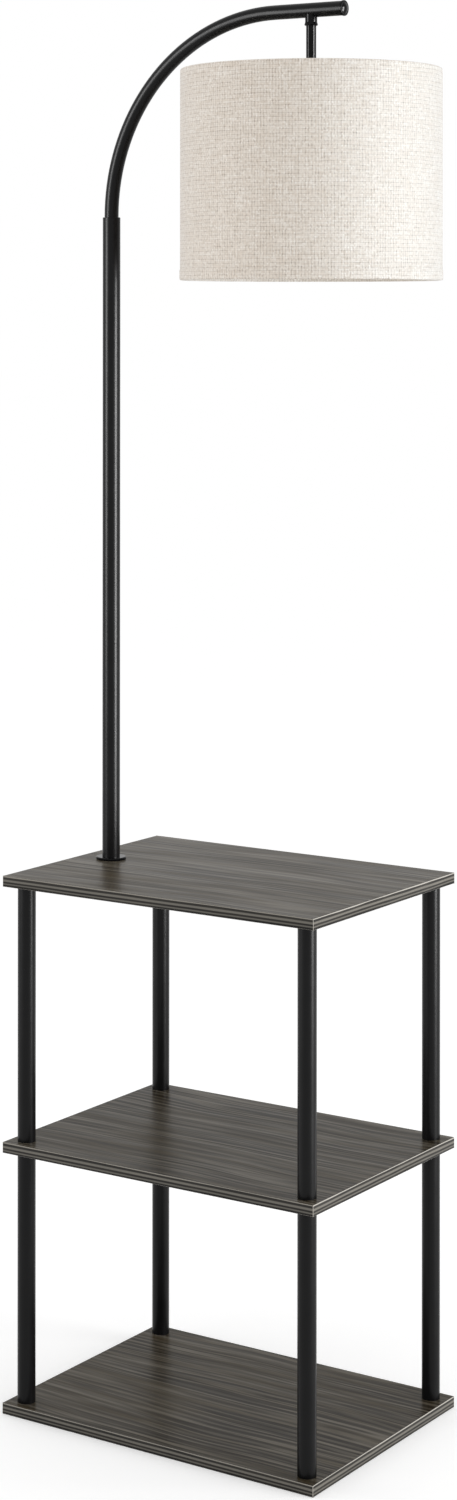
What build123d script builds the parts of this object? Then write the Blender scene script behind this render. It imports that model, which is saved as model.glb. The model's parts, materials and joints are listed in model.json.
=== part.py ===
from build123d import *
import os

# Floor lamp with a three-tier table. Millimetres, +Z up.
# The origin is the middle of the table's footprint, on the floor.
# +X runs along the shelves towards the shade, -Y is the front.

# Shelves
shelf_length = 400.0
shelf_depth = 300.0
board_thickness = 12.0
edge_strip_thickness = 1.0
edge_strip_round = 0.6

# Legs: four corners, two tiers
leg_diameter = 20.0
leg_wall = 1.0
lower_leg_length = 275.0
upper_leg_length = 281.0
leg_inset = 19.0

# Leg fasteners
bolt_diameter = 6.0
bolt_hole_clearance = 0.3
bolt_head_diameter = 12.0
bolt_head_sink = 0.3
bolt_grip = 11.0
bolt_chamfer = 0.5
hex_key_width = 4.0
hex_key_depth = 2.0
leg_insert_length = 16.0
insert_nut_diameter = 10.0
blind_hole_floor = 2.5
top_stud_end_gap = 1.0

# Pole and its fixing through the top shelf
pole_edge_distance = 40.0
pole_diameter = 20.0
pole_wall = 1.7
pole_length = 725.0
pole_rim_round = 0.5
flange_diameter = 34.0
flange_thickness = 3.0
flange_round = 1.2
pole_insert_length = 16.0
nipple_diameter = 10.0
nipple_wall = 1.5
nipple_grip = 12.0
nipple_tail = 6.0
nipple_hole_clearance = 0.3
washer_diameter = 30.0
washer_thickness = 1.5
lock_nut_width = 17.0
lock_nut_height = 5.0

# Cord bushing, screwed on the nipple's lower end
cord_bore = 6.4
bushing_diameter = 15.0
bushing_nose_length = 8.0
bushing_round = 1.0

# Arm
arm_wall = 1.2
arm_clearance = 0.3
arm_spigot_length = 60.0
stop_ring_height = 6.0
stop_ring_wall = 3.3
arm_rise = 1.5
bend_radius = 218.5
stem_from_bend = 46.5
arm_overhang = 44.5
end_cap_plug_length = 8.0
end_cap_overhang = 0.6
end_cap_lip = 2.0
end_cap_round = 0.8
end_cap_dome_diameter = 12.4
end_cap_dome_height = 2.0

# Stem
stem_diameter = 11.0
stem_wall = 1.25
stem_entry = 2.0
collar_height = 9.0
collar_neck_wall = 1.1
collar_lip_wall = 1.95
collar_lip_bevel = 1.0
collar_flare_height = 4.0

# Shade
shade_diameter = 284.0
shade_height = 229.0
shade_drop = 64.0
fabric_thickness = 0.8
liner_thickness = 0.6
liner_end_gap = 1.2
shade_wire = 3.0
hem_depth = 9.0
rim_round = 2.0
spoke_count = 3
spoke_first_angle = 60.0
spoke_notch = 0.2
spoke_bend_radius = 6.0
spoke_run_out = 8.0

# Socket and shade fitter
fitter_recess = 45.0
fitter_diameter = 50.0
fitter_thickness = 1.5
fitter_clearance = 0.3
clamp_ring_diameter = 46.0
clamp_ring_height = 6.0
clamp_ring_chamfer = 0.8
socket_diameter = 37.0
socket_wall = 3.0
switch_bay_height = 18.0
skirt_length = 24.0
skirt_wall = 2.8
cap_height = 14.0
cap_shoulder_round = 6.0
cap_seat_floor = 2.0
neck_wall = 3.0
neck_height = 7.0
stem_seat_depth = 10.0
contact_block_height = 12.0
screw_shell_wall = 0.4
screw_shell_length = 26.0
screw_shell_head = 0.8
contact_diameter = 7.0
contact_height = 4.0
contact_chamfer = 0.7
contact_hole_clearance = 2.5

# Rotary switch on the socket
shaft_diameter = 5.0
shaft_clearance = 0.1
shaft_inner_reach = 6.0
shaft_end_gap = 0.5
knob_diameter = 14.0
knob_length = 12.0
knob_gap = 2.0
knob_seat_depth = 8.0
knob_flute_count = 12
knob_flute_radius = 0.8
knob_chamfer = 0.8

# Bulb
bulb_diameter = 60.0
bulb_glass_length = 83.0
bulb_glass_wall = 1.0
bulb_base_diameter = 26.0
bulb_base_wall = 0.4
bulb_base_length = 22.0
bulb_base_lip = 3.0
bulb_tip_length = 5.0
bulb_tip_diameter = 9.5
bulb_tip_land = 1.0
bulb_tip_seat = 1.0
bulb_neck_overlap = 3.0
bulb_clearance = 0.5

# Small gap left between pieces that are pressed, glued or screwed together
seat_gap = 0.05

# Largest share of an edge's room that a rounding takes
round_share = 0.9

# Heights
bottom_top = board_thickness
middle_foot = bottom_top + lower_leg_length
middle_top = middle_foot + board_thickness
top_foot = middle_top + upper_leg_length
table_top = top_foot + board_thickness
pole_foot = table_top + flange_thickness
pole_top = pole_foot + pole_length
spigot_foot = pole_top - arm_spigot_length
bend_start = pole_top + arm_rise
arm_level = bend_start + bend_radius
shade_top = arm_level - shade_drop
shade_foot = shade_top - shade_height
fitter_level = shade_top - fitter_recess
skirt_foot = fitter_level - skirt_length
shell_top = fitter_level + switch_bay_height
cap_top = shell_top + cap_height
neck_top = cap_top + neck_height
stem_foot = neck_top - stem_seat_depth
contact_block_foot = shell_top - contact_block_height
shaft_level = shell_top - contact_block_height / 2
contact_foot = contact_block_foot - contact_height
bulb_base_top = contact_foot - bulb_tip_length
bulb_base_foot = bulb_base_top - bulb_base_length
bulb_neck_level = bulb_base_foot + bulb_neck_overlap
washer_foot = top_foot - washer_thickness
lock_nut_foot = washer_foot - lock_nut_height
nipple_foot = lock_nut_foot - nipple_tail
bushing_foot = nipple_foot - bushing_nose_length

# Places in plan
leg_x = shelf_length / 2 - leg_inset
leg_y = shelf_depth / 2 - leg_inset
pole_x = pole_edge_distance - shelf_length / 2
stem_x = pole_x + bend_radius + stem_from_bend
arm_end_x = stem_x + arm_overhang
arm_tube_end_x = arm_end_x - end_cap_lip - end_cap_dome_height
corners = {
    "front_left": (-leg_x, -leg_y),
    "front_right": (leg_x, -leg_y),
    "back_left": (-leg_x, leg_y),
    "back_right": (leg_x, leg_y),
}
leg_points = list(corners.values())
pole_point = (pole_x, 0)
stem_point = (stem_x, 0)

# Diameters that follow from the sizes above
core_length = shelf_length - 2 * edge_strip_thickness
core_depth = shelf_depth - 2 * edge_strip_thickness
leg_bore = leg_diameter - 2 * leg_wall
bolt_hole = bolt_diameter + 2 * bolt_hole_clearance
bolt_thread = bolt_diameter + 2 * seat_gap
insert_nut_length = board_thickness - blind_hole_floor
pole_bore = pole_diameter - 2 * pole_wall
nipple_thread = nipple_diameter + 2 * seat_gap
nipple_hole = nipple_diameter + 2 * nipple_hole_clearance
nipple_bore = nipple_diameter - 2 * nipple_wall
stop_ring_diameter = pole_bore - 2 * seat_gap
arm_diameter = pole_bore - 2 * arm_clearance
arm_bore = arm_diameter - 2 * arm_wall
stem_hole = stem_diameter + 2 * seat_gap
stem_bore = stem_diameter - 2 * stem_wall
neck_diameter = stem_hole + 2 * neck_wall
screw_shell_bore = bulb_base_diameter + 2 * bulb_clearance
screw_shell_diameter = screw_shell_bore + 2 * screw_shell_wall
skirt_bore = screw_shell_diameter + 2 * seat_gap
skirt_diameter = skirt_bore + 2 * skirt_wall
socket_bore = socket_diameter - 2 * socket_wall
shaft_bore = shaft_diameter + 2 * shaft_clearance

# The shade's wall from outside in: fabric, liner, wire ring, turned-in hem
shade_radius = shade_diameter / 2
fabric_inner = shade_radius - fabric_thickness
liner_outer = fabric_inner - seat_gap
liner_inner = liner_outer - liner_thickness
ring_radius = liner_inner - seat_gap - shade_wire / 2
hem_outer = ring_radius - shade_wire / 2 - seat_gap
hem_inner = hem_outer - fabric_thickness
ring_inset = fabric_thickness + seat_gap + shade_wire / 2
top_ring_level = shade_top - ring_inset
bottom_ring_level = shade_foot + ring_inset
spoke_level = fitter_level + seat_gap + shade_wire / 2

stem_plane = Plane(origin=(stem_x, 0, 0), x_dir=(1, 0, 0), z_dir=(0, -1, 0))
stem_axis = Axis((stem_x, 0, 0), (0, 0, 1))
os.makedirs("parts", exist_ok=True)


def save(piece, name):
    """Label a finished piece and write it under its own name."""
    piece.part.label = name
    export_step(piece.part, f"parts/{name}.step")


def tube(points, foot, height, outer, bore):
    """Upright tubes or rings of one size, one at each point in plan."""
    with BuildPart() as piece:
        with BuildSketch(Plane.XY.offset(foot)):
            with Locations(*points):
                Circle(outer / 2)
                Circle(bore / 2, mode=Mode.SUBTRACT)
        extrude(amount=height)
    return piece


def stud(points, foot, height):
    """Threaded studs with chamfered ends, one at each point in plan."""
    with BuildPart() as piece:
        with BuildSketch(Plane.XY.offset(foot)):
            with Locations(*points):
                Circle(bolt_diameter / 2)
        extrude(amount=height)
        chamfer(piece.edges().filter_by(GeomType.CIRCLE), length=bolt_chamfer)
    return piece


def turned(points):
    """A piece turned about the stem's axis, from its half section as (radius, height) points."""
    with BuildPart() as piece:
        with BuildSketch(stem_plane):
            with BuildLine():
                Polyline(*points, close=True)
            make_face()
        revolve(axis=stem_axis)
    return piece


def edge_strip(outer_plane, length, round_ends):
    """One edge strip, its outer face on the plane, with rounded outer edges."""
    with BuildPart() as strip:
        with BuildSketch(outer_plane):
            Rectangle(length, board_thickness)
        extrude(amount=-edge_strip_thickness)
        outward = Axis(outer_plane.origin, outer_plane.z_dir)
        along = Axis(outer_plane.origin, outer_plane.x_dir)
        rounded = strip.faces().sort_by(outward)[-1].edges()
        if not round_ends:
            rounded = rounded.filter_by(along)
        fillet(rounded, radius=min(edge_strip_round, round_share * edge_strip_thickness))
    return strip.part


def edge_strips(foot):
    """The four strips of one shelf: the long ones cover the ends of the short ones."""
    level = foot + board_thickness / 2
    short_length = core_depth - 2 * seat_gap
    with BuildPart() as strips:
        for side in (-1, 1):
            long_plane = Plane((0, side * shelf_depth / 2, level), x_dir=(1, 0, 0), z_dir=(0, side, 0))
            short_plane = Plane((side * shelf_length / 2, 0, level), x_dir=(0, 1, 0), z_dir=(side, 0, 0))
            add(edge_strip(long_plane, shelf_length, True))
            add(edge_strip(short_plane, short_length, False))
    return strips


def spoke(diameter):
    """One shade spoke, from the fitter ring up to the top wire ring, along +X from the axis."""
    start = socket_diameter / 2 + seat_gap
    ring_side = ring_radius - shade_wire / 2
    with BuildPart() as wire:
        with BuildLine(Plane.XZ):
            FilletPolyline(
                (start, spoke_level),
                (fitter_diameter / 2, spoke_level),
                (ring_side - spoke_run_out, top_ring_level),
                (ring_side, top_ring_level),
                radius=spoke_bend_radius,
            )
        with BuildSketch(Plane.YZ.offset(start)):
            with Locations((0, spoke_level)):
                Circle(diameter / 2)
        sweep()
    return wire.part


def bulb_form(shrink):
    """The bulb's solid form: a round end, a flare tangent to it and a straight neck."""
    ball = bulb_diameter / 2 - shrink
    neck = bulb_base_diameter / 2 - bulb_base_wall - seat_gap - shrink
    drop = bulb_glass_length - bulb_neck_overlap - bulb_diameter / 2
    ball_level = bulb_base_foot - drop
    flare = (drop**2 + neck**2 - ball**2) / (2 * (ball - neck))
    share = ball / (ball + flare)
    meeting = ((neck + flare) * share, ball_level + drop * share)
    with BuildPart() as form:
        with BuildSketch(stem_plane):
            with BuildLine():
                Polyline((0, bulb_neck_level), (neck, bulb_neck_level), (neck, bulb_base_foot))
                TangentArc((neck, bulb_base_foot), meeting, tangent=(0, -1))
                ThreePointArc(meeting, (ball, ball_level), (0, ball_level - ball))
                Line((0, ball_level - ball), (0, bulb_neck_level))
            make_face()
        revolve(axis=stem_axis)
    return form.part


# Bottom shelf: countersunk holes from beneath
with BuildPart() as bottom_shelf:
    with BuildSketch():
        Rectangle(core_length, core_depth)
    extrude(amount=board_thickness)
    with Locations(Plane(origin=(0, 0, 0), z_dir=(0, 0, -1))):
        with GridLocations(2 * leg_x, 2 * leg_y, 2, 2):
            CounterSinkHole(
                radius=bolt_hole / 2,
                counter_sink_radius=bolt_head_diameter / 2 + bolt_head_sink + seat_gap,
                counter_sink_angle=90,
            )
save(bottom_shelf, "bottom_shelf")

# Middle shelf: plain through holes for the joining studs
with BuildPart() as middle_shelf:
    with BuildSketch(Plane.XY.offset(middle_foot)):
        Rectangle(core_length, core_depth)
        with Locations(*leg_points):
            Circle(bolt_hole / 2, mode=Mode.SUBTRACT)
    extrude(amount=board_thickness)
save(middle_shelf, "middle_shelf")

# Top shelf: blind holes from beneath for the insert nuts, one hole right through for the pole
with BuildPart() as top_shelf:
    with BuildSketch(Plane.XY.offset(top_foot)):
        Rectangle(core_length, core_depth)
        with Locations(pole_point):
            Circle(nipple_hole / 2, mode=Mode.SUBTRACT)
    extrude(amount=board_thickness)
    with BuildSketch(Plane.XY.offset(top_foot)):
        with Locations(*leg_points):
            Circle(insert_nut_diameter / 2 + seat_gap)
    extrude(amount=insert_nut_length, mode=Mode.SUBTRACT)
save(top_shelf, "top_shelf")

save(edge_strips(0), "bottom_edge_strips")
save(edge_strips(middle_foot), "middle_edge_strips")
save(edge_strips(top_foot), "top_edge_strips")

# Legs, with a threaded insert in each end
tiers = (("lower", bottom_top, lower_leg_length), ("upper", middle_top, upper_leg_length))
for tier, leg_foot, leg_length in tiers:
    for corner, point in corners.items():
        save(tube([point], leg_foot, leg_length, leg_diameter, leg_bore), f"{tier}_leg_{corner}")
    upper_insert_foot = leg_foot + leg_length - leg_insert_length
    with BuildPart() as leg_inserts:
        for insert_foot in (leg_foot, upper_insert_foot):
            with BuildSketch(Plane.XY.offset(insert_foot)):
                with Locations(*leg_points):
                    Circle(leg_bore / 2 - seat_gap)
                    Circle(bolt_thread / 2, mode=Mode.SUBTRACT)
            extrude(amount=leg_insert_length)
    save(leg_inserts, f"{tier}_leg_inserts")

# Countersunk bolts under the bottom shelf
head_height = (bolt_head_diameter - bolt_diameter) / 2
bolt_tip = bottom_top + bolt_grip
with BuildPart() as one_bolt:
    with BuildSketch(Plane.XZ):
        with BuildLine():
            Polyline(
                (0, bolt_head_sink),
                (bolt_head_diameter / 2, bolt_head_sink),
                (bolt_diameter / 2, bolt_head_sink + head_height),
                (bolt_diameter / 2, bolt_tip - bolt_chamfer),
                (bolt_diameter / 2 - bolt_chamfer, bolt_tip),
                (0, bolt_tip),
                close=True,
            )
        make_face()
    revolve(axis=Axis.Z)
    with BuildSketch(Plane.XY.offset(bolt_head_sink)):
        RegularPolygon(hex_key_width / 2, side_count=6, major_radius=False)
    extrude(amount=hex_key_depth, mode=Mode.SUBTRACT)
with BuildPart() as bottom_bolts:
    with Locations(*[(x, y, 0) for x, y in leg_points]):
        add(one_bolt.part)
save(bottom_bolts, "bottom_bolts")

# Studs that join the tiers through the middle shelf, and those that hold the top shelf
save(stud(leg_points, middle_foot - bolt_grip, board_thickness + 2 * bolt_grip), "middle_joining_studs")
top_stud_length = bolt_grip + insert_nut_length - top_stud_end_gap
save(stud(leg_points, top_foot - bolt_grip, top_stud_length), "top_shelf_studs")
save(tube(leg_points, top_foot, insert_nut_length, insert_nut_diameter, bolt_thread), "top_shelf_insert_nuts")

# Pole, its flange on the shelf and the insert in its foot
with BuildPart() as pole_flange:
    with BuildSketch(Plane.XY.offset(table_top)):
        with Locations(pole_point):
            Circle(flange_diameter / 2)
            Circle(nipple_hole / 2, mode=Mode.SUBTRACT)
    extrude(amount=flange_thickness)
    flange_rim = pole_flange.faces().sort_by(Axis.Z)[-1].outer_wire().edges()
    fillet(flange_rim, radius=min(flange_round, round_share * flange_thickness))
save(pole_flange, "pole_flange")

with BuildPart() as pole_tube:
    with BuildSketch(Plane.XY.offset(pole_foot)):
        with Locations(pole_point):
            Circle(pole_diameter / 2)
            Circle(pole_bore / 2, mode=Mode.SUBTRACT)
    extrude(amount=pole_length)
    pole_rim = pole_tube.faces().sort_by(Axis.Z)[-1].outer_wire().edges()
    fillet(pole_rim, radius=min(pole_rim_round, round_share * pole_wall))
save(pole_tube, "pole_tube")

pole_insert_diameter = pole_bore - 2 * seat_gap
pole_insert = tube([pole_point], pole_foot, pole_insert_length, pole_insert_diameter, nipple_thread)
save(pole_insert, "pole_base_insert")

# Hollow nipple through the shelf, with its washer and nut beneath
nipple_length = pole_foot + nipple_grip - nipple_foot
save(tube([pole_point], nipple_foot, nipple_length, nipple_diameter, nipple_bore), "pole_nipple")
washer = tube([pole_point], washer_foot, washer_thickness, washer_diameter, nipple_hole)
save(washer, "pole_backing_washer")

with BuildPart() as pole_lock_nut:
    with BuildSketch(Plane.XY.offset(lock_nut_foot)):
        with Locations(pole_point):
            RegularPolygon(lock_nut_width / 2, side_count=6, major_radius=False)
            Circle(nipple_thread / 2, mode=Mode.SUBTRACT)
    extrude(amount=lock_nut_height)
save(pole_lock_nut, "pole_lock_nut")

with BuildPart() as cord_bushing:
    with BuildSketch(Plane.XY.offset(bushing_foot)):
        with Locations(pole_point):
            Circle(bushing_diameter / 2)
            Circle(cord_bore / 2, mode=Mode.SUBTRACT)
    extrude(amount=lock_nut_foot - bushing_foot)
    with BuildSketch(Plane.XY.offset(nipple_foot)):
        with Locations(pole_point):
            Circle(nipple_thread / 2)
    extrude(amount=nipple_tail, mode=Mode.SUBTRACT)
    fillet(cord_bushing.faces().sort_by(Axis.Z)[0].edges(), radius=bushing_round)
save(cord_bushing, "cord_bushing")

# Ring pressed into the pole, on which the arm's spigot turns
stop_ring_bore = stop_ring_diameter - 2 * stop_ring_wall
stop_ring_foot = spigot_foot - stop_ring_height
stop_ring = tube([pole_point], stop_ring_foot, stop_ring_height, stop_ring_diameter, stop_ring_bore)
save(stop_ring, "arm_stop_ring")

# Arm: a spigot in the pole, a quarter circle and a level run, with a hole for the stem
with BuildPart() as arm_tube:
    with BuildLine(Plane.XZ):
        Line((pole_x, spigot_foot), (pole_x, bend_start))
        JernArc(start=(pole_x, bend_start), tangent=(0, 1), radius=bend_radius, arc_size=-90)
        Line((pole_x + bend_radius, arm_level), (arm_tube_end_x, arm_level))
    with BuildSketch(Plane.XY.offset(spigot_foot)):
        with Locations(pole_point):
            Circle(arm_diameter / 2)
            Circle(arm_bore / 2, mode=Mode.SUBTRACT)
    sweep()
    with BuildSketch(Plane.XY.offset(arm_level)):
        with Locations(stem_point):
            Circle(stem_hole / 2)
    extrude(amount=-arm_diameter, mode=Mode.SUBTRACT)
save(arm_tube, "arm_tube")

# Cap in the arm's end: a plug, a lip a little proud of the tube and a domed face
lip_radius = arm_diameter / 2 + end_cap_overhang
lip_face_x = arm_tube_end_x + end_cap_lip
dome_radius = end_cap_dome_diameter / 2
with BuildPart() as arm_end_cap:
    with BuildSketch(Plane.YZ.offset(arm_tube_end_x)):
        with Locations((0, arm_level)):
            Circle(lip_radius)
    extrude(amount=end_cap_lip)
    lip_edge = arm_end_cap.faces().sort_by(Axis.X)[-1].edges()
    lip_room = min(end_cap_lip, lip_radius - dome_radius)
    fillet(lip_edge, radius=min(end_cap_round, round_share * lip_room))
    with BuildSketch(Plane.YZ.offset(arm_tube_end_x)):
        with Locations((0, arm_level)):
            Circle(arm_bore / 2 - seat_gap)
    extrude(amount=-end_cap_plug_length)
    with BuildSketch(Plane(origin=(0, 0, arm_level), x_dir=(1, 0, 0), z_dir=(0, -1, 0))):
        with BuildLine():
            Polyline((arm_end_x, 0), (lip_face_x, 0), (lip_face_x, dome_radius))
            TangentArc((arm_end_x, 0), (lip_face_x, dome_radius), tangent=(0, 1))
        make_face()
    revolve(axis=Axis((0, 0, arm_level), (1, 0, 0)))
save(arm_end_cap, "arm_end_cap")

# Stem and the flared collar that closes its joint with the arm
stem_head = arm_level - arm_bore / 2 + stem_entry
save(tube([stem_point], stem_foot, stem_head - stem_foot, stem_diameter, stem_bore), "stem_tube")

collar_foot = arm_level - arm_diameter / 2 - collar_height
collar_neck = stem_diameter / 2 + collar_neck_wall
collar_lip = stem_diameter / 2 + collar_lip_wall
with BuildPart() as stem_collar:
    with BuildSketch(stem_plane):
        with BuildLine():
            Polyline(
                (stem_hole / 2, collar_foot),
                (collar_lip - collar_lip_bevel, collar_foot),
                (collar_lip, collar_foot + collar_lip_bevel),
                (collar_neck, collar_foot + collar_flare_height),
                (collar_neck, arm_level),
                (stem_hole / 2, arm_level),
                close=True,
            )
        make_face()
    revolve(axis=stem_axis)
    with BuildSketch(Plane.YZ.offset(stem_x)):
        with Locations((0, arm_level)):
            Circle(arm_diameter / 2 + seat_gap)
    extrude(amount=arm_diameter, both=True, mode=Mode.SUBTRACT)
save(stem_collar, "stem_collar")

# Socket: cap on the stem, shell with the switch bay and the threaded skirt
cap_cavity_top = stem_foot - cap_seat_floor
socket_radius = socket_diameter / 2
with BuildPart() as socket_cap:
    with BuildSketch(stem_plane):
        with BuildLine():
            Line((socket_radius, shell_top), (socket_radius, cap_top - cap_shoulder_round))
            JernArc((socket_radius, cap_top - cap_shoulder_round), (0, 1), cap_shoulder_round, 90)
            Polyline(
                (socket_radius - cap_shoulder_round, cap_top),
                (neck_diameter / 2, cap_top),
                (neck_diameter / 2, neck_top),
                (stem_hole / 2, neck_top),
                (stem_hole / 2, stem_foot),
                (stem_bore / 2, stem_foot),
                (stem_bore / 2, cap_cavity_top),
                (socket_bore / 2, cap_cavity_top),
                (socket_bore / 2, shell_top),
                (socket_radius, shell_top),
            )
        make_face()
    revolve(axis=stem_axis)
save(socket_cap, "socket_cap")

with BuildPart() as socket_shell:
    with BuildSketch(stem_plane):
        with BuildLine():
            Polyline(
                (skirt_bore / 2, skirt_foot),
                (skirt_diameter / 2, skirt_foot),
                (skirt_diameter / 2, fitter_level),
                (socket_radius, fitter_level),
                (socket_radius, shell_top),
                (socket_bore / 2, shell_top),
                (socket_bore / 2, contact_block_foot),
                (skirt_bore / 2, contact_block_foot),
                close=True,
            )
        make_face()
    revolve(axis=stem_axis)
    with BuildSketch(Plane.YZ.offset(stem_x)):
        with Locations((0, shaft_level)):
            Circle(shaft_bore / 2)
    extrude(amount=socket_diameter, mode=Mode.SUBTRACT)
save(socket_shell, "socket_shell")

# Contact block in the switch bay, with the switch shaft's bearing hole
with BuildPart() as contact_block:
    with BuildSketch(Plane.XY.offset(contact_block_foot)):
        with Locations(stem_point):
            Circle(socket_bore / 2 - seat_gap)
    extrude(amount=contact_block_height)
    with BuildSketch(Plane.YZ.offset(stem_x + shaft_inner_reach - shaft_end_gap)):
        with Locations((0, shaft_level)):
            Circle(shaft_bore / 2)
    extrude(amount=socket_diameter, mode=Mode.SUBTRACT)
save(contact_block, "contact_block")

# Screw shell and centre contact under the block
screw_shell_foot = contact_block_foot - screw_shell_length
contact_hole = contact_diameter + 2 * contact_hole_clearance
screw_shell = turned([
    (screw_shell_bore / 2, screw_shell_foot),
    (screw_shell_diameter / 2, screw_shell_foot),
    (screw_shell_diameter / 2, contact_block_foot),
    (contact_hole / 2, contact_block_foot),
    (contact_hole / 2, contact_block_foot - screw_shell_head),
    (screw_shell_bore / 2, contact_block_foot - screw_shell_head),
])
save(screw_shell, "screw_shell")

with BuildPart() as centre_contact:
    with BuildSketch(Plane.XY.offset(contact_foot)):
        with Locations(stem_point):
            Circle(contact_diameter / 2)
    extrude(amount=contact_height)
    chamfer(centre_contact.faces().sort_by(Axis.Z)[0].edges(), length=contact_chamfer)
save(centre_contact, "centre_contact")

# Rotary switch: shaft in the contact block, fluted knob outside the shell
shaft_start = stem_x + shaft_inner_reach
knob_start = stem_x + socket_radius + knob_gap
shaft_end = knob_start + knob_seat_depth - seat_gap
with BuildPart() as switch_shaft:
    with BuildSketch(Plane.YZ.offset(shaft_start)):
        with Locations((0, shaft_level)):
            Circle(shaft_diameter / 2)
    extrude(amount=shaft_end - shaft_start)
save(switch_shaft, "switch_shaft")

with BuildPart() as switch_knob:
    with BuildSketch(Plane.YZ.offset(knob_start)):
        with Locations((0, shaft_level)):
            Circle(knob_diameter / 2)
    extrude(amount=knob_length)
    chamfer(switch_knob.faces().sort_by(Axis.X)[-1].edges(), length=knob_chamfer)
    with BuildSketch(Plane.YZ.offset(knob_start)):
        with Locations((0, shaft_level)):
            with PolarLocations(knob_diameter / 2, knob_flute_count):
                Circle(knob_flute_radius)
    extrude(amount=knob_length, mode=Mode.SUBTRACT)
    with BuildSketch(Plane.YZ.offset(knob_start)):
        with Locations((0, shaft_level)):
            Circle(shaft_diameter / 2 + seat_gap)
    extrude(amount=knob_seat_depth, mode=Mode.SUBTRACT)
save(switch_knob, "switch_knob")

# Shade fitter: ring against the shell's shoulder, clamped from below
fitter_foot = fitter_level - fitter_thickness
fitter_bore = skirt_diameter + 2 * fitter_clearance
fitter = tube([stem_point], fitter_foot, fitter_thickness, fitter_diameter, fitter_bore)
save(fitter, "shade_fitter_ring")

with BuildPart() as shade_clamp_ring:
    with BuildSketch(Plane.XY.offset(fitter_foot - clamp_ring_height)):
        with Locations(stem_point):
            Circle(clamp_ring_diameter / 2)
            Circle(skirt_diameter / 2 + seat_gap, mode=Mode.SUBTRACT)
    extrude(amount=clamp_ring_height)
    clamp_edge = shade_clamp_ring.faces().sort_by(Axis.Z)[0].outer_wire().edges()
    chamfer(clamp_edge, length=clamp_ring_chamfer)
save(shade_clamp_ring, "shade_clamp_ring")

# Shade frame: spokes and two wire rings
with BuildPart() as shade_spokes:
    with Locations((stem_x, 0, 0)):
        with PolarLocations(0, spoke_count, spoke_first_angle):
            add(spoke(shade_wire))
save(shade_spokes, "shade_spokes")

for ring_name, ring_level in (("top", top_ring_level), ("bottom", bottom_ring_level)):
    with BuildPart() as shade_ring:
        with BuildSketch(stem_plane):
            with Locations((ring_radius, ring_level)):
                Circle(shade_wire / 2)
        revolve(axis=stem_axis)
    save(shade_ring, f"shade_{ring_name}_ring")

# Shade liner, and the fabric drum with its hems turned over the rings and notched at the spokes
liner_foot = shade_foot + fabric_thickness + liner_end_gap
liner_height = shade_height - 2 * (fabric_thickness + liner_end_gap)
save(tube([stem_point], liner_foot, liner_height, 2 * liner_outer, 2 * liner_inner), "shade_liner")

rim_room = (shade_radius - hem_inner) / 2
with BuildPart() as shade_fabric:
    with BuildSketch(stem_plane):
        with BuildLine():
            FilletPolyline(
                (hem_inner, shade_top - hem_depth),
                (hem_inner, shade_top),
                (shade_radius, shade_top),
                (shade_radius, shade_foot),
                (hem_inner, shade_foot),
                (hem_inner, shade_foot + hem_depth),
                radius=min(rim_round, round_share * rim_room),
            )
            offset(amount=fabric_thickness, side=Side.RIGHT)
        make_face()
    revolve(axis=stem_axis)
    with Locations((stem_x, 0, 0)):
        with PolarLocations(0, spoke_count, spoke_first_angle):
            add(spoke(shade_wire + 2 * spoke_notch), mode=Mode.SUBTRACT)
save(shade_fabric, "shade_fabric")

# Bulb: hollow glass, screw base and base tip
with BuildPart() as bulb_glass:
    add(bulb_form(0))
    add(bulb_form(bulb_glass_wall), mode=Mode.SUBTRACT)
save(bulb_glass, "bulb_glass")

base_radius = bulb_base_diameter / 2
base_lip_radius = base_radius - bulb_base_lip
bulb_base = turned([
    (base_radius - bulb_base_wall, bulb_base_foot),
    (base_radius, bulb_base_foot),
    (base_radius, bulb_base_top),
    (base_lip_radius, bulb_base_top),
    (base_lip_radius, bulb_base_top - bulb_base_wall),
    (base_radius - bulb_base_wall, bulb_base_top - bulb_base_wall),
])
save(bulb_base, "bulb_base")

bulb_tip = turned([
    (0, bulb_base_top),
    (base_lip_radius + bulb_tip_seat, bulb_base_top),
    (bulb_tip_diameter / 2, contact_foot - bulb_tip_land),
    (bulb_tip_diameter / 2, contact_foot),
    (0, contact_foot),
])
save(bulb_tip, "bulb_tip")
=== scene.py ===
import json
import math

import bpy
from mathutils import Euler, Matrix, Vector


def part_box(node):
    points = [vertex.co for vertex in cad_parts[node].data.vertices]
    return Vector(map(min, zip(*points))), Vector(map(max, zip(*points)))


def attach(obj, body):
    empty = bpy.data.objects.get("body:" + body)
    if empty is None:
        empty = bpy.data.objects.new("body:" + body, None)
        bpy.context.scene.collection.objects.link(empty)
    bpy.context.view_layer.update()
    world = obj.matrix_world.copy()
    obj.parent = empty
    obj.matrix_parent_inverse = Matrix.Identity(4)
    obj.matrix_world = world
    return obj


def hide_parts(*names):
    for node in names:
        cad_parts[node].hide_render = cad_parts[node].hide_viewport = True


# Floor lamp with a three-tier table: its looks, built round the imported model.
# Metres, +Z up, +X along the shelves towards the shade, -Y to the front.

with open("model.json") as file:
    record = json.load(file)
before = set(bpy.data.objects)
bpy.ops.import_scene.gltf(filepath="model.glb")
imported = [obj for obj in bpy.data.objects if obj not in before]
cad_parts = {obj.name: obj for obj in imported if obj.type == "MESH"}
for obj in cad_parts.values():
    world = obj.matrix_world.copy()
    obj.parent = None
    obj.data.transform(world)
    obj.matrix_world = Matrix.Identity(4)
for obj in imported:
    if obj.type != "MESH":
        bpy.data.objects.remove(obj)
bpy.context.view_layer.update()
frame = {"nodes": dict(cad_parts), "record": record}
nodes = frame["nodes"]

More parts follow.
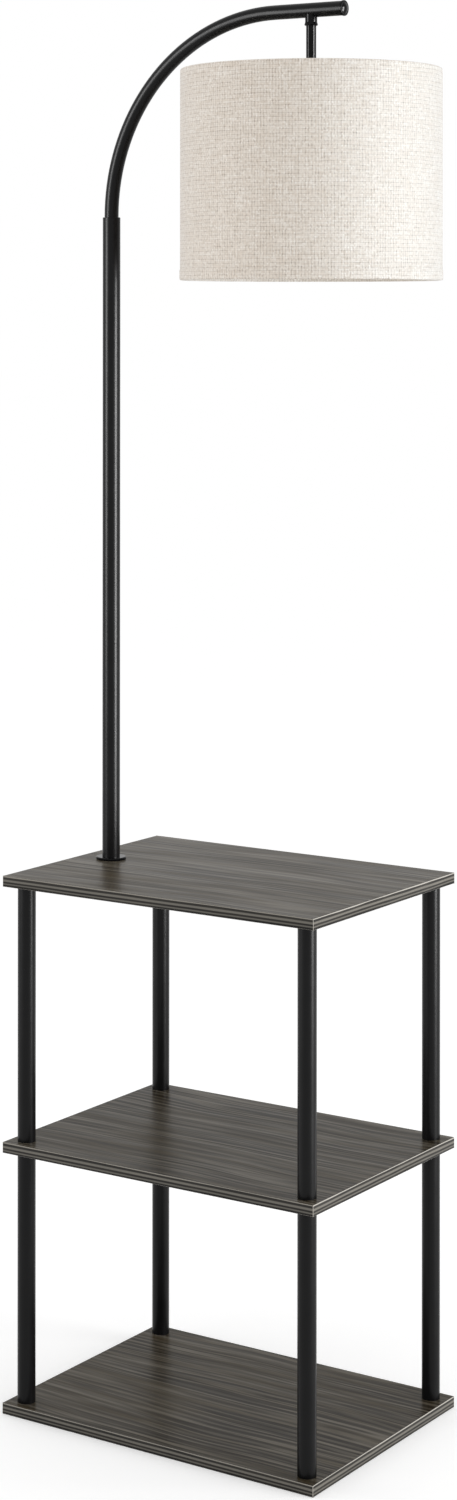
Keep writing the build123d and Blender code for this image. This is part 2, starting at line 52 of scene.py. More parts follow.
# Camera, fitted to the shelf corners and the tube edges in the photograph
PHOTO_WIDTH = 457
PHOTO_HEIGHT = 1500
FOCAL_PIXELS = 2905.5
PRINCIPAL_X = 151.47
PRINCIPAL_Y = 311.58
CAMERA_PLACE = (1.7489, -2.6916, 1.2132)
CAMERA_TURN = 34.557
CAMERA_ROLL = 0.04
SENSOR_WIDTH = 36.0

# World and floor
WORLD_LEVEL = 0.8
FLOOR_SIZE = 80.0
FLOOR_DROP = 0.0003
FLOOR_COLOUR = 0.85
FLOOR_LIFT = 0.32

# Lights: bearings are degrees to the right of the line from the lamp to the camera
LIGHT_DISTANCE = 2.6
LIGHT_TOP = 2.1
BOX_WIDTH = 1.4
BOX_FOOT = 0.0
RIGHT_BOX_BEARING = 72
RIGHT_BOX_RADIANCE = 2.95
LEFT_BOX_BEARING = -95
LEFT_BOX_RADIANCE = 0.9
CLOTH_BOX_COLOUR = (0.8, 0.99, 1.17)
CARD_WIDTH = 0.9
RIGHT_CARD_BEARING = 62
RIGHT_CARD_RADIANCE = 42.0
RIGHT_CARD_FOOT = 0.15
LEFT_CARD_BEARING = -71
LEFT_CARD_RADIANCE = 17.0
LEFT_CARD_FOOT = 0.5

# Form of the shade's cloth
CLOTH_THICKNESS = 0.0008
RIM_ROUND = 0.002
HEM_DEPTH = 0.009
HEM_BAND = 0.012
HEM_BULGE = 0.0006
HEM_STEP = 0.0012
SEAM_OVERLAP = 0.014
SEAM_BEARING = 150.0
AROUND_STEPS = 240
WALL_STEPS = 12
RIM_STEPS = 6
SHARP_ANGLE = 50

# Weave: pitches of the threads, changes of tone and breaks of the gaps a metre, and how far,
# in threads, a thread strays from straight
WARP_PITCH = 0.0017
WEFT_PITCH = 0.0021
THREAD_STEP = 7.31
WARP_SLUBS = 90
WEFT_SLUBS = 40
GAP_BREAKS = 180
DRIFT_ALONG = 14
DRIFT_ACROSS = 60
DRIFT = 1.8
WARP_GAP_SHARE = 0.48
WEFT_GAP_SHARE = 0.34
CROSSED_GAP_SHARE = 0.28

# Shelf grain: distances between its lines, and how far it strays from straight
BROAD_PITCH = 0.016
BOLD_PITCH = 0.009
FINE_PITCH = 0.0055
GRAIN_SWAY = 0.035
GRAIN_RIPPLE = 0.001
LINE_BEND = 2.4

# Grain on the shelf ends rises towards the back, as a share of the run
END_GRAIN_SLANT = 0.12
# Painted light: the colour of the shelf ends is multiplied lighter, as if lit from the side
END_PAINTED_LIGHT = (1.3, 1.3, 1.3, 1)

# Greys of the edge strips' layers, each from its share of the height upwards; the near-black band at the
# bottom is painted shade along the lower edge
EDGE_LAYERS_AND_SHADE = ((0.0, 4), (0.15, 8), (0.2, 60), (0.24, 112), (0.3, 106), (0.35, 30), (0.47, 28),
               (0.53, 120), (0.66, 118), (0.72, 38), (0.86, 34), (0.89, 38))

BULB_THREAD_PITCH = 0.0036


def linear(red, green, blue):
    """An sRGB colour, 0 to 255 a channel, as the linear colour that a shader takes."""
    def one(value):
        share = value / 255
        return share / 12.92 if share <= 0.04045 else ((share + 0.055) / 1.055) ** 2.4
    return (one(red), one(green), one(blue), 1.0)


class Painter:
    """A material with one Principled shader, and short calls that add nodes to it."""

    def __init__(self, name, **settings):
        self.material = bpy.data.materials.new(name)
        self.material.use_nodes = True
        self.tree = self.material.node_tree
        self.shader = self.tree.nodes["Principled BSDF"]
        for socket, value in settings.items():
            self.shader.inputs[socket.replace("_", " ")].default_value = value

    def add(self, kind, inputs=None, **properties):
        """A node of that kind; an input is given a value or linked from a socket."""
        node = self.tree.nodes.new("ShaderNode" + kind)
        for name, value in properties.items():
            setattr(node, name, value)
        for name, value in (inputs or {}).items():
            if isinstance(value, bpy.types.NodeSocket):
                self.tree.links.new(value, node.inputs[name])
            else:
                node.inputs[name].default_value = value
        return node

    def math(self, operation, first, second=0.0, third=0.0):
        return self.add("Math", {0: first, 1: second, 2: third}, operation=operation).outputs[0]

    def remap(self, value, low, high, to_low=0.0, to_high=1.0):
        inputs = {"Value": value, "From Min": low, "From Max": high, "To Min": to_low, "To Max": to_high}
        return self.add("MapRange", inputs, interpolation_type="SMOOTHSTEP").outputs[0]

    def mix(self, share, first, second, blend="MIX"):
        node = self.add("Mix", {"Factor": share}, data_type="RGBA", blend_type=blend)
        for socket, value in ((node.inputs[6], first), (node.inputs[7], second)):
            if isinstance(value, bpy.types.NodeSocket):
                self.tree.links.new(value, socket)
            else:
                socket.default_value = value
        return node.outputs[2]

    def place(self):
        """The point's place in the model's own frame, in metres."""
        return self.add("TexCoord").outputs["Object"]

    def stretched(self, vector, scale):
        return self.add("Mapping", {"Vector": vector, "Scale": scale}).outputs[0]

    def noise(self, vector, scale, detail=2.0, roughness=0.5):
        inputs = {"Vector": vector, "Scale": scale, "Detail": detail, "Roughness": roughness}
        return self.add("TexNoise", inputs).outputs["Fac"]

    def bump(self, height, distance, strength=1.0):
        inputs = {"Height": height, "Distance": distance, "Strength": strength}
        self.feed("Normal", self.add("Bump", inputs).outputs[0])

    def feed(self, socket, source):
        self.tree.links.new(source, self.shader.inputs[socket])


def satin_black():
    """Black powder coat: a fine orange peel, and a gloss that varies a little along the tube."""
    paint = Painter("satin_black", Specular_IOR_Level=0.15)
    place = paint.place()
    cloudy = paint.noise(place, 45, detail=3)
    peel = paint.noise(place, 900, detail=1)
    tone = paint.mix(cloudy, linear(8, 8, 9), linear(13, 13, 14))
    paint.feed("Base Color", tone)
    paint.feed("Roughness", paint.remap(cloudy, 0.3, 0.7, 0.29, 0.32))
    paint.bump(peel, 0.000003)
    return paint.material


def gloss_black():
    """Smooth black lacquer on the turned fittings."""
    paint = Painter("gloss_black", Specular_IOR_Level=0.1)
    place = paint.place()
    cloudy = paint.noise(place, 120, detail=3)
    paint.feed("Base Color", paint.mix(cloudy, linear(8, 8, 9), linear(16, 16, 17)))
    paint.feed("Roughness", paint.remap(cloudy, 0.3, 0.7, 0.07, 0.12))
    paint.bump(paint.noise(place, 900, detail=1), 0.000004)
    return paint.material


def grain_lines(paint, point, across, pitch):
    """Thin lines along the grain, about a pitch apart, bent and broken by noise."""
    bend = paint.noise(paint.stretched(point, (3, 0.4 / pitch, 0.4 / pitch)), 1, detail=1)
    turns = paint.math("MULTIPLY_ADD", across, 1 / pitch, paint.math("MULTIPLY", bend, LINE_BEND))
    wave = paint.math("SINE", paint.math("MULTIPLY", turns, 2 * math.pi))
    breaks = paint.noise(paint.stretched(point, (7, 0.6 / pitch, 0.6 / pitch)), 1, detail=1)
    return paint.math("MULTIPLY", paint.remap(wave, -0.4, 0.6), paint.remap(breaks, 0.32, 0.55))


def wood_grain(paint, along, across, height):
    """Bands, clustered lines, fibres and pores along one direction, as colour, relief and bands."""
    spot = paint.add("CombineXYZ", {"X": along, "Y": across, "Z": height}).outputs[0]
    sway = paint.noise(spot, 3.5, detail=1)
    ripple = paint.noise(paint.stretched(spot, (18, 60, 60)), 1, detail=1)
    swayed = paint.math("ADD", across, paint.math("MULTIPLY", sway, GRAIN_SWAY))
    swayed = paint.math("ADD", swayed, paint.math("MULTIPLY", ripple, GRAIN_RIPPLE))
    point = paint.add("CombineXYZ", {"X": along, "Y": swayed, "Z": height}).outputs[0]
    depth = paint.math("ADD", swayed, height)
    bands = paint.noise(paint.stretched(point, (5, 70, 70)), 1, detail=2, roughness=0.55)
    dense = paint.remap(paint.noise(paint.stretched(point, (6, 28, 28)), 1, detail=1), 0.36, 0.62)
    broad_lines = grain_lines(paint, point, depth, BROAD_PITCH)
    bold_lines = grain_lines(paint, point, depth, BOLD_PITCH)
    fine_lines = grain_lines(paint, point, depth, FINE_PITCH)
    fibres = paint.noise(paint.stretched(point, (30, 1100, 1100)), 1, detail=2)
    pores = paint.remap(paint.noise(paint.stretched(point, (22, 430, 430)), 1, detail=1), 0.56, 0.68)
    dark = linear(24, 16, 2)
    dark_ground = linear(64, 55, 38)
    pale_ground = linear(100, 94, 83)
    dense_ground = linear(107, 101, 90)
    fibre = linear(101, 95, 85)
    tone = paint.mix(paint.remap(bands, 0.34, 0.66), dark_ground, pale_ground)
    tone = paint.mix(paint.math("MULTIPLY", dense, 0.5), tone, dense_ground)
    fine_share = paint.math("MULTIPLY_ADD", dense, 0.5, 0.25)
    tone = paint.mix(paint.math("MULTIPLY", fine_lines, fine_share), tone, dark)
    tone = paint.mix(paint.math("MULTIPLY", broad_lines, 0.5), tone, dark)
    bold_share = paint.math("MULTIPLY_ADD", dense, 0.5, 0.5)
    tone = paint.mix(paint.math("MULTIPLY", bold_lines, bold_share), tone, dark)
    tone = paint.mix(paint.remap(fibres, 0.4, 0.75, 0, 0.2), tone, fibre)
    tone = paint.mix(paint.math("MULTIPLY", pores, 0.3), tone, dark)
    relief = paint.math("SUBTRACT", paint.math("ADD", fibres, bands), pores)
    return tone, relief, bands


def shelf_laminate():
    """Dark brown laminate with its grain along the shelf, and a sheen in which the tubes show softly."""
    paint = Painter("shelf_laminate", Specular_IOR_Level=0.05)
    axes = paint.add("SeparateXYZ", {0: paint.place()}).outputs
    tone, relief, bands = wood_grain(paint, axes["X"], axes["Y"], axes["Z"])
    paint.feed("Base Color", tone)
    paint.feed("Roughness", paint.remap(bands, 0.35, 0.65, 0.36, 0.3))
    paint.bump(relief, 0.00001, 0.5)
    return paint.material


def edge_strip():
    """Layered edge strips, grained along each side, with painted highlights on the upper edges and
    upright corners, ends made lighter as painted light, and painted shade along the bottom.
    """
    paint = Painter("edge_strip", Specular_IOR_Level=0.2)
    coordinate = paint.add("TexCoord").outputs
    axes = paint.add("SeparateXYZ", {0: coordinate["Object"]}).outputs
    either_way = paint.add("VectorMath", {0: coordinate["Normal"]}, operation="ABSOLUTE").outputs[0]
    facing = paint.add("SeparateXYZ", {0: either_way}).outputs
    on_end = paint.math("GREATER_THAN", facing["X"], facing["Y"])
    along = paint.add("Mix", {"Factor": on_end, "A": axes["X"], "B": axes["Y"]}).outputs[0]
    across = paint.add("Mix", {"Factor": on_end, "A": axes["Y"], "B": axes["X"]}).outputs[0]
    slant = paint.math("MULTIPLY", paint.math("MULTIPLY", along, END_GRAIN_SLANT), on_end)
    tone, relief, bands = wood_grain(paint, along, across, paint.math("SUBTRACT", axes["Z"], slant))
    height = paint.add("SeparateXYZ", {0: coordinate["Generated"]}).outputs["Z"]
    height = paint.math("ADD", height, paint.remap(bands, 0.3, 0.7, -0.03, 0.03))
    # The strips' layered greys, with painted shade along their lower edge
    layers_and_shade = paint.add("ValToRGB", {"Fac": height})
    ramp = layers_and_shade.color_ramp
    while len(ramp.elements) < len(EDGE_LAYERS_AND_SHADE):
        ramp.elements.new(1.0)
    for element, (level, grey) in zip(ramp.elements, EDGE_LAYERS_AND_SHADE):
        element.position = level
        element.color = linear(grey, grey * 0.97, grey * 0.91)
    tone = paint.mix(0.86, tone, layers_and_shade.outputs[0])
    # Painted light: the ends of the strips are made lighter than the faces along the shelf
    tone = paint.mix(on_end, tone, END_PAINTED_LIGHT, blend="MULTIPLY")
    # Painted highlight: a pale line along the strips' upper edges, paler still on the ends
    edge_highlight = paint.mix(on_end, linear(140, 135, 126), linear(200, 195, 186))
    beside = paint.remap(facing["Z"], 0.95, 0.6)
    tone = paint.mix(paint.math("MULTIPLY", paint.remap(height, 0.89, 0.92), beside), tone, edge_highlight)
    tone = paint.mix(paint.remap(facing["Z"], 0.6, 0.95), tone, linear(40, 37, 32))
    # Painted highlight: a whitish line down the strips' upright corners
    upright = paint.math("LESS_THAN", facing["Z"], 0.5)
    squarely = paint.math("MAXIMUM", facing["X"], facing["Y"])
    corner = paint.math("MULTIPLY", upright, paint.remap(squarely, 0.99, 0.9))
    tone = paint.mix(paint.math("MULTIPLY", corner, 0.8), tone, linear(214, 208, 199))
    paint.feed("Base Color", tone)
    paint.feed("Roughness", paint.remap(bands, 0.35, 0.65, 0.5, 0.4))
    paint.bump(relief, 0.00006, 0.5)
    return paint.material


def thread_noise(paint, thread, along, slubs):
    """A change of tone along each thread, unlike its neighbour's; slubs counts the changes a metre."""
    own = paint.math("MULTIPLY", thread, THREAD_STEP)
    spot = paint.add("CombineXYZ", {"X": paint.math("MULTIPLY", along, slubs), "Y": own}).outputs[0]
    return paint.noise(spot, 1, detail=1)


def thread_gaps(paint, threads, along):
    """Lines of painted shade in the gaps between pairs of threads, broken along their length."""
    pairs = paint.math("MULTIPLY", threads, 0.5)
    nearest = paint.math("ROUND", pairs)
    line = paint.remap(paint.math("ABSOLUTE", paint.math("SUBTRACT", pairs, nearest)), 0.04, 0.24, 1, 0)
    broken = paint.remap(thread_noise(paint, nearest, along, GAP_BREAKS), 0.3, 0.7)
    return paint.math("MULTIPLY", line, broken)


def linen():
    """Plain-woven linen: threads and floats of differing tone, with painted shade in broken gaps both
    ways and in the hollows of the weave.
    """
    dull_yarn = linear(234, 221, 206)
    bright_yarn = linear(253, 247, 238)
    dull_float = linear(204, 191, 174)
    hollow_shade = linear(176, 157, 141)
    gap_shade = linear(153, 135, 119)
    paint = Painter("linen", Roughness=0.75, Specular_IOR_Level=0.65,
                    Sheen_Weight=0.5, Sheen_Roughness=0.45)
    cloth = paint.add("UVMap", uv_map="cloth").outputs[0]
    axes = paint.add("SeparateXYZ", {0: cloth}).outputs
    warp_drift = paint.noise(paint.stretched(cloth, (DRIFT_ACROSS, DRIFT_ALONG, 1)), 1, detail=2)
    weft_drift = paint.noise(paint.stretched(cloth, (DRIFT_ALONG, DRIFT_ACROSS, 1)), 1, detail=2)
    warp_stray = paint.math("MULTIPLY", warp_drift, DRIFT)
    warp = paint.math("MULTIPLY_ADD", axes["X"], 1 / WARP_PITCH, warp_stray)
    weft_stray = paint.math("MULTIPLY", weft_drift, DRIFT)
    weft = paint.math("MULTIPLY_ADD", axes["Y"], 1 / WEFT_PITCH, weft_stray)
    warp_wave = paint.math("SINE", paint.math("MULTIPLY", warp, math.pi))
    weft_wave = paint.math("SINE", paint.math("MULTIPLY", weft, math.pi))
    crossing = paint.math("MULTIPLY", warp_wave, weft_wave)
    over = paint.remap(crossing, -1, 1, 0.1, 1)
    under = paint.remap(crossing, -1, 1, 1, 0.1)
    warp_height = paint.math("MULTIPLY", paint.math("ABSOLUTE", warp_wave), over)
    weft_height = paint.math("MULTIPLY", paint.math("ABSOLUTE", weft_wave), under)
    height = paint.math("MAXIMUM", warp_height, weft_height)
    warp_thread = paint.math("FLOOR", warp)
    weft_thread = paint.math("FLOOR", weft)
    warp_tone = thread_noise(paint, warp_thread, axes["Y"], WARP_SLUBS)
    weft_tone = thread_noise(paint, weft_thread, axes["X"], WEFT_SLUBS)
    cell = paint.add("CombineXYZ", {"X": warp_thread, "Y": weft_thread}).outputs[0]
    float_tone = paint.add("TexWhiteNoise", {"Vector": cell}, noise_dimensions="2D").outputs["Value"]
    on_top = paint.remap(crossing, -0.25, 0.25)
    yarn = paint.add("Mix", {"Factor": on_top, "A": weft_tone, "B": warp_tone}).outputs[0]
    warp_gaps = thread_gaps(paint, warp, axes["Y"])
    weft_gaps = thread_gaps(paint, weft, axes["X"])
    gaps = paint.math("MULTIPLY", paint.math("MULTIPLY", warp_gaps, weft_gaps), CROSSED_GAP_SHARE)
    gaps = paint.math("MULTIPLY_ADD", weft_gaps, WEFT_GAP_SHARE, gaps)
    gaps = paint.math("MULTIPLY_ADD", warp_gaps, WARP_GAP_SHARE, gaps)
    tone = paint.mix(paint.remap(yarn, 0.2, 0.8), dull_yarn, bright_yarn)
    tone = paint.mix(paint.math("MULTIPLY", float_tone, 0.5), tone, dull_float)
    # Painted shade in the hollows between the raised threads
    tone = paint.mix(paint.remap(height, 0.1, 0.6, 0.3, 0), tone, hollow_shade)
    # Painted shade in the gaps between the threads
    tone = paint.mix(gaps, tone, gap_shade)
    paint.feed("Base Color", tone)
    paint.bump(paint.math("ADD", height, paint.math("MULTIPLY", yarn, 0.4)), 0.0003, 0.5)
    return paint.material


def zinc_steel():
    """Zinc-plated steel: bright, a little cloudy, with fine turning marks."""
    paint = Painter("zinc_steel", Metallic=1.0)
    place = paint.place()
    cloudy = paint.noise(place, 240, detail=3)
    marks = paint.noise(paint.stretched(place, (300, 300, 5200)), 1, detail=2)
    paint.feed("Base Color", paint.mix(cloudy, linear(158, 160, 164), linear(204, 206, 208)))
    paint.feed("Roughness", paint.remap(marks, 0.3, 0.7, 0.26, 0.44))
    paint.bump(marks, 0.00003, 0.5)
    return paint.material


def moulded_black():
    """Black moulded plastic with a fine spark texture."""
    paint = Painter("moulded_black", Specular_IOR_Level=0.4)
    place = paint.place()
    spark = paint.noise(place, 2600, detail=2)
    cloudy = paint.noise(place, 90, detail=2)
    paint.feed("Base Color", paint.mix(cloudy, linear(22, 22, 23), linear(34, 34, 35)))
    paint.feed("Roughness", paint.remap(spark, 0.3, 0.7, 0.42, 0.58))
    paint.bump(spark, 0.00003, 0.6)
    return paint.material


def phenolic():
    """Brown moulded insulator, with a faint marbling."""
    paint = Painter("phenolic", Specular_IOR_Level=0.5)
    place = paint.place()
    marbling = paint.noise(place, 380, detail=4)
    paint.feed("Base Color", paint.mix(marbling, linear(44, 30, 22), linear(74, 52, 38)))
    paint.feed("Roughness", paint.remap(marbling, 0.3, 0.7, 0.26, 0.38))
    paint.bump(paint.noise(place, 1500, detail=1), 0.00002, 0.5)
    return paint.material


def brass():
    """Plain brass, a little tarnished."""
    paint = Painter("brass", Metallic=1.0)
    place = paint.place()
    tarnish = paint.noise(place, 320, detail=4)
    paint.feed("Base Color", paint.mix(tarnish, linear(176, 134, 72), linear(222, 188, 116)))
    paint.feed("Roughness", paint.remap(tarnish, 0.3, 0.7, 0.4, 0.24))
    paint.bump(paint.noise(place, 2200, detail=1), 0.00002, 0.5)
    return paint.material


def painted_wire():
    """White dipped paint on the shade's wire frame, uneven at the bends."""
    paint = Painter("painted_wire", Specular_IOR_Level=0.5)
    place = paint.place()
    runs = paint.noise(place, 420, detail=2)
    paint.feed("Base Color", paint.mix(runs, linear(226, 225, 220), linear(240, 239, 236)))
    paint.feed("Roughness", paint.remap(runs, 0.3, 0.7, 0.28, 0.42))
    paint.bump(runs, 0.00012, 0.5)
    return paint.material


def liner_film():
    """Stiff white liner behind the cloth, whose weave shows faintly through it."""
    paint = Painter("liner_film", Specular_IOR_Level=0.4)
    place = paint.place()
    cloudy = paint.noise(place, 60, detail=3)
    telegraph = paint.noise(paint.stretched(place, (500, 500, 900)), 1, detail=1)
    paint.feed("Base Color", paint.mix(cloudy, linear(232, 229, 222), linear(243, 241, 236)))
    paint.feed("Roughness", paint.remap(cloudy, 0.3, 0.7, 0.4, 0.5))
    paint.bump(telegraph, 0.00005, 0.4)
    return paint.material


def opal_glass():
    """White-coated bulb glass: a smooth clear skin over a soft white powder."""
    paint = Painter("opal_glass", Specular_IOR_Level=0.5, Coat_Weight=0.6, Coat_Roughness=0.05)
    powder = paint.noise(paint.place(), 700, detail=3)
    paint.feed("Base Color", paint.mix(powder, linear(234, 233, 228), linear(245, 244, 241)))
    paint.feed("Roughness", paint.remap(powder, 0.3, 0.7, 0.22, 0.32))
    return paint.material


def bulb_cap_metal():
    """Nickelled bulb base with its rolled thread as relief."""
    paint = Painter("bulb_cap_metal", Metallic=1.0)
    place = paint.place()
    height = paint.add("SeparateXYZ", {0: place}).outputs["Z"]
    thread = paint.math("SINE", paint.math("MULTIPLY", height, 2 * math.pi / BULB_THREAD_PITCH))
    cloudy = paint.noise(place, 260, detail=3)
    paint.feed("Base Color", paint.mix(cloudy, linear(176, 174, 168), linear(212, 210, 204)))
    paint.feed("Roughness", paint.remap(cloudy, 0.3, 0.7, 0.2, 0.32))
    paint.bump(thread, 0.0006, 0.8)
    return paint.material


def finish_of(slot):
    """The function that paints each of the record's material slots."""
    return {
        "shelf_laminate": shelf_laminate,
        "edge_strip": edge_strip,
        "black_tube": satin_black,
        "black_fitting": gloss_black,
        "zinc_steel": zinc_steel,
        "black_plastic": moulded_black,
        "insulator": phenolic,
        "brass": brass,
        "white_wire": painted_wire,
        "shade_liner": liner_film,
        "shade_linen": linen,
        "bulb_glass": opal_glass,
        "bulb_base": bulb_cap_metal,
    }[slot]


def dress_nodes():
    """Give every CAD node the finish of its slot; returns the finishes by slot."""
    finishes = {}
    for row in frame["record"]["materials"]:
        finishes[row["slot"]] = finish_of(row["slot"])()
    for row in frame["record"]["subparts"]:
        materials = nodes[row["node"]].data.materials
        materials.clear()
        materials.append(finishes[row["material_slot"]])
    return finishes


def arc(centre_radius, centre_height, radius, start, stop):
    """Points on an arc in the shade's half section, angles in degrees from straight out."""
    points = []
    for step in range(RIM_STEPS + 1):
        angle = math.radians(start + (stop - start) * step / RIM_STEPS)
        outward = radius * math.cos(angle)
        upward = radius * math.sin(angle)
        points.append((centre_radius + outward, centre_height + upward))
    return points


def cloth_section(outer, inner, foot, top):
    """The cloth's closed half section: its face from the top hem to the bottom one, then its back."""
    corner = RIM_ROUND
    inset = CLOTH_THICKNESS
    tight = corner - inset
    bulge_top = foot + HEM_BAND
    wall = top - bulge_top
    inner_steps = range(1, WALL_STEPS)
    face = [(inner, top - HEM_DEPTH)]
    face += arc(inner + corner, top - corner, corner, 180, 90)
    face += arc(outer - corner, top - corner, corner, 90, 0)
    face += [(outer, top - wall * step / WALL_STEPS) for step in inner_steps]
    face += [(outer, bulge_top), (outer + HEM_BULGE, bulge_top - HEM_STEP)]
    face += arc(outer + HEM_BULGE - corner, foot + corner, corner, 0, -90)
    face += arc(inner + corner, foot + corner, corner, -90, -180)
    face += [(inner, foot + HEM_DEPTH)]
    back = [(inner + inset, foot + HEM_DEPTH)]
    back += arc(inner + corner, foot + corner, tight, -180, -90)
    back += arc(outer + HEM_BULGE - corner, foot + corner, tight, -90, 0)
    back += [(outer + HEM_BULGE - inset, bulge_top - HEM_STEP), (outer - inset, bulge_top)]
    back += [(outer - inset, bulge_top + wall * step / WALL_STEPS) for step in inner_steps]
    back += arc(outer - corner, top - corner, tight, 0, 90)
    back += arc(inner + corner, top - corner, tight, 90, 180)
    back += [(inner + inset, top - HEM_DEPTH)]
    return face + back


def shade_cloth(finish):
    """The linen drum: a closed sheet over the liner, hemmed round both wire rings."""
    low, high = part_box("shade_fabric")
    ring_low, ring_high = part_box("shade_top_ring")
    axis = (low + high) / 2
    outer = (high.x - low.x) / 2
    ring_outer = (ring_high.x - ring_low.x) / 2
    wire = ring_high.z - ring_low.z
    inner = ring_outer - wire - CLOTH_THICKNESS
    section = cloth_section(outer, inner, low.z, high.z)
    count = len(section)
    lengths = [0.0]
    for first, second in zip(section, section[1:] + section[:1]):
        lengths.append(lengths[-1] + math.dist(first, second))
    length = 2 * math.pi * outer
    vertices = []
    for step in range(AROUND_STEPS + 1):
        share = step / AROUND_STEPS
        angle = math.radians(SEAM_BEARING) + 2 * math.pi * share
        lift = CLOTH_THICKNESS * max(0.0, 1 - (1 - share) * length / SEAM_OVERLAP)
        for radius, height in section:
            reach = radius + lift
            vertices.append((axis.x + reach * math.cos(angle), axis.y + reach * math.sin(angle), height))
    faces = []
    places = []
    for step in range(AROUND_STEPS + 1):
        here = step * count
        there = (step + 1) % (AROUND_STEPS + 1) * count
        start = length * step / AROUND_STEPS
        stop = start + min(length / AROUND_STEPS, length + CLOTH_THICKNESS - start)
        for index in range(count):
            after = (index + 1) % count
            faces.append((here + index, here + after, there + after, there + index))
            places += [(start, -lengths[index]), (start, -lengths[index + 1])]
            places += [(stop, -lengths[index + 1]), (stop, -lengths[index])]
    mesh = bpy.data.meshes.new("shade_cloth")
    mesh.from_pydata(vertices, [], faces)
    mesh.uv_layers.new(name="cloth")
    for corner, place in zip(mesh.uv_layers["cloth"].uv, places):
        corner.vector = place
    mesh.shade_smooth()
    mesh.set_sharp_from_angle(angle=math.radians(SHARP_ANGLE))
    mesh.materials.append(finish)
    piece = bpy.data.objects.new("shade_cloth", mesh)
    bpy.context.scene.collection.objects.link(piece)
    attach(piece, "arm")
    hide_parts("shade_fabric")
    return piece


def white_for_lookers(tree, level, lit):
    """A strength that is lit for camera, mirror and glass rays, and level for light on the object."""
    path = tree.nodes.new("ShaderNodeLightPath")
    seen = path.outputs["Is Camera Ray"]
    for ray in ("Is Glossy Ray", "Is Transmission Ray"):
        either = tree.nodes.new("ShaderNodeMath")
        either.operation = "MAXIMUM"
        tree.links.new(seen, either.inputs[0])
        tree.links.new(path.outputs[ray], either.inputs[1])
        seen = either.outputs[0]
    strength = tree.nodes.new("ShaderNodeMapRange")
    tree.links.new(seen, strength.inputs["Value"])
    strength.inputs["To Min"].default_value = level
    strength.inputs["To Max"].default_value = lit
    return strength.outputs[0]


def add_world():
    """A plain white studio all round."""
    world = bpy.data.worlds.new("studio")
    bpy.context.scene.world = world
    world.use_nodes = True
    tree = world.node_tree
    background = tree.nodes["Background"]
    background.inputs["Color"].default_value = (1, 1, 1, 1)
    tree.links.new(white_for_lookers(tree, WORLD_LEVEL, 1.0), background.inputs["Strength"])


def add_floor():
    """A wide pale floor that shows white where it is lit and keeps the shadow."""
    half = FLOOR_SIZE / 2
    mesh = bpy.data.meshes.new("floor")
    corners = [(-half, -half, -FLOOR_DROP), (half, -half, -FLOOR_DROP),
               (half, half, -FLOOR_DROP), (-half, half, -FLOOR_DROP)]
    mesh.from_pydata(corners, [], [(0, 1, 2, 3)])
    floor = bpy.data.objects.new("floor", mesh)
    bpy.context.scene.collection.objects.link(floor)
    material = bpy.data.materials.new("pale_floor")
    material.use_nodes = True
    tree = material.node_tree
    shader = tree.nodes["Principled BSDF"]
    shader.inputs["Base Color"].default_value = (FLOOR_COLOUR, FLOOR_COLOUR, FLOOR_COLOUR, 1)
    shader.inputs["Roughness"].default_value = 1.0
    shader.inputs["Specular IOR Level"].default_value = 0.0
    shader.inputs["Emission Color"].default_value = (1, 1, 1, 1)
    tree.links.new(white_for_lookers(tree, 0.0, FLOOR_LIFT), shader.inputs["Emission Strength"])
    mesh.materials.append(material)


def add_light(name, bearing, radiance, width, foot):
    """A standing area light that faces the lamp, from its foot above the floor up to LIGHT_TOP."""
    camera_bearing = CAMERA_TURN - 90
    angle = math.radians(camera_bearing + bearing)
    light = bpy.data.lights.new(name, "AREA")
    light.shape = "RECTANGLE"
    light.size = width
    light.size_y = LIGHT_TOP - foot
    light.energy = radiance * math.pi * light.size * light.size_y
    lamp = bpy.data.objects.new(name, light)
    bpy.context.scene.collection.objects.link(lamp)
    across = math.cos(angle)
    along = math.sin(angle)
    lamp.location = (LIGHT_DISTANCE * across, LIGHT_DISTANCE * along, (foot + LIGHT_TOP) / 2)
    aim = Vector((-across, -along, 0))
    lamp.rotation_euler = aim.to_track_quat("-Z", "Y").to_euler()
    lamp.visible_camera = False
    return lamp


def light_group(name, pieces):
    """A collection that names the pieces a light is linked to."""
    group = bpy.data.collections.new(name)
    for piece in pieces:
        group.objects.link(piece)
    return group


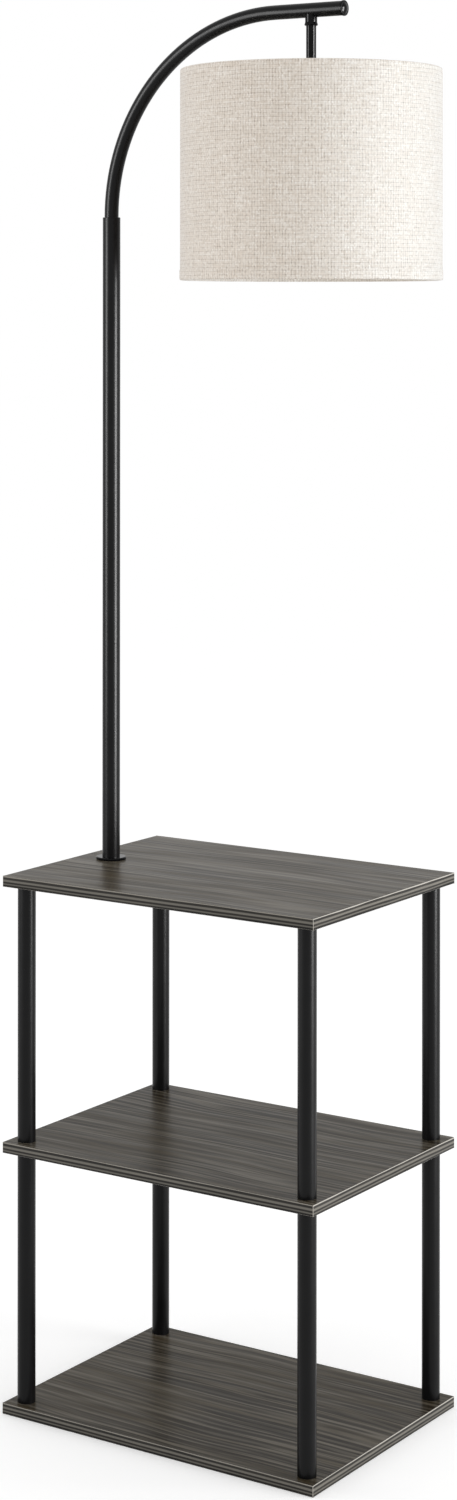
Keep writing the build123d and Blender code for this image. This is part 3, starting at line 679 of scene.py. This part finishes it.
def add_lights(cloth):
    """Soft boxes without highlights, the right one doubled by a cooler one for the cloth alone,
    and two cards that only make highlights, on the cloth and the black metal."""
    right = (RIGHT_BOX_BEARING, RIGHT_BOX_RADIANCE, BOX_WIDTH, BOX_FOOT)
    right_box = add_light("right_box", *right)
    left_box = add_light("left_box", LEFT_BOX_BEARING, LEFT_BOX_RADIANCE, BOX_WIDTH, BOX_FOOT)
    cloth_box = add_light("cloth_box", *right)
    cloth_box.data.color = CLOTH_BOX_COLOUR
    for box in (right_box, left_box, cloth_box):
        box.visible_glossy = False
    all_but_cloth = light_group("all_but_cloth", [cloth])
    all_but_cloth.collection_objects[0].light_linking.link_state = "EXCLUDE"
    right_box.light_linking.receiver_collection = all_but_cloth
    cloth_box.light_linking.receiver_collection = light_group("cloth_only", [cloth])
    highlit = light_group("highlit", [cloth])
    for row in frame["record"]["subparts"]:
        if row["material_slot"] in ("black_tube", "black_fitting") and row["node"] != "pole_flange":
            highlit.objects.link(nodes[row["node"]])
    right_card = add_light(
        "right_card", RIGHT_CARD_BEARING, RIGHT_CARD_RADIANCE, CARD_WIDTH, RIGHT_CARD_FOOT)
    left_card = add_light(
        "left_card", LEFT_CARD_BEARING, LEFT_CARD_RADIANCE, CARD_WIDTH, LEFT_CARD_FOOT)
    for card in (right_card, left_card):
        card.visible_diffuse = False
        card.light_linking.receiver_collection = highlit


def add_camera():
    """A level camera whose shifted lens frames the lamp as the photograph does."""
    data = bpy.data.cameras.new("camera")
    long_side = max(PHOTO_WIDTH, PHOTO_HEIGHT)
    data.sensor_width = SENSOR_WIDTH
    data.lens = FOCAL_PIXELS / long_side * SENSOR_WIDTH
    data.shift_x = (PHOTO_WIDTH / 2 - PRINCIPAL_X) / long_side
    data.shift_y = (PRINCIPAL_Y - PHOTO_HEIGHT / 2) / long_side
    camera = bpy.data.objects.new("camera", data)
    camera.location = CAMERA_PLACE
    upright = Euler((math.radians(90), 0, math.radians(CAMERA_TURN))).to_matrix()
    camera.rotation_euler = (upright @ Matrix.Rotation(math.radians(CAMERA_ROLL), 3, "Z")).to_euler()
    bpy.context.scene.collection.objects.link(camera)
    bpy.context.scene.camera = camera


bpy.context.scene.view_settings.view_transform = "Standard"
finishes = dress_nodes()
cloth = shade_cloth(finishes["shade_linen"])
add_world()
add_floor()
add_lights(cloth)
add_camera()
